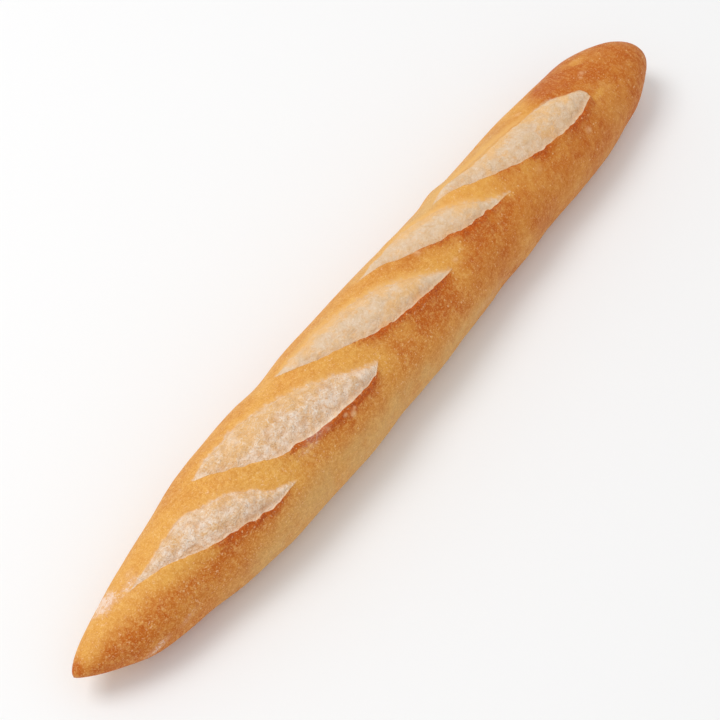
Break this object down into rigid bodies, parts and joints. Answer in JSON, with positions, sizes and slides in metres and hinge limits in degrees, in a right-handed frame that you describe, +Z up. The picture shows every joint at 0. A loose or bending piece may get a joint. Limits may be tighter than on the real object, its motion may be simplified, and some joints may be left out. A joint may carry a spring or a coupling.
{
  "type": "baguette",
  "caption": "Short stout baguette with a golden crust, a pointed and a blunt end, and slanting scores opened to pale crumb.",
  "frame": {"origin": "middle of the loaf's box in plan, at the flat base it rests on", "axes": "+X along the loaf towards its blunt end, +Z up through the scored top, +Y to the side the scores' soft edges face"},
  "size_m": [0.5, 0.0688, 0.0553],
  "materials": {
    "crust": "satin baked crust, golden to red-brown, with pale crumb in the scores"
  },
  "bodies": {
    "root": {"baguette": "crust"}
  },
  "joints": []
}
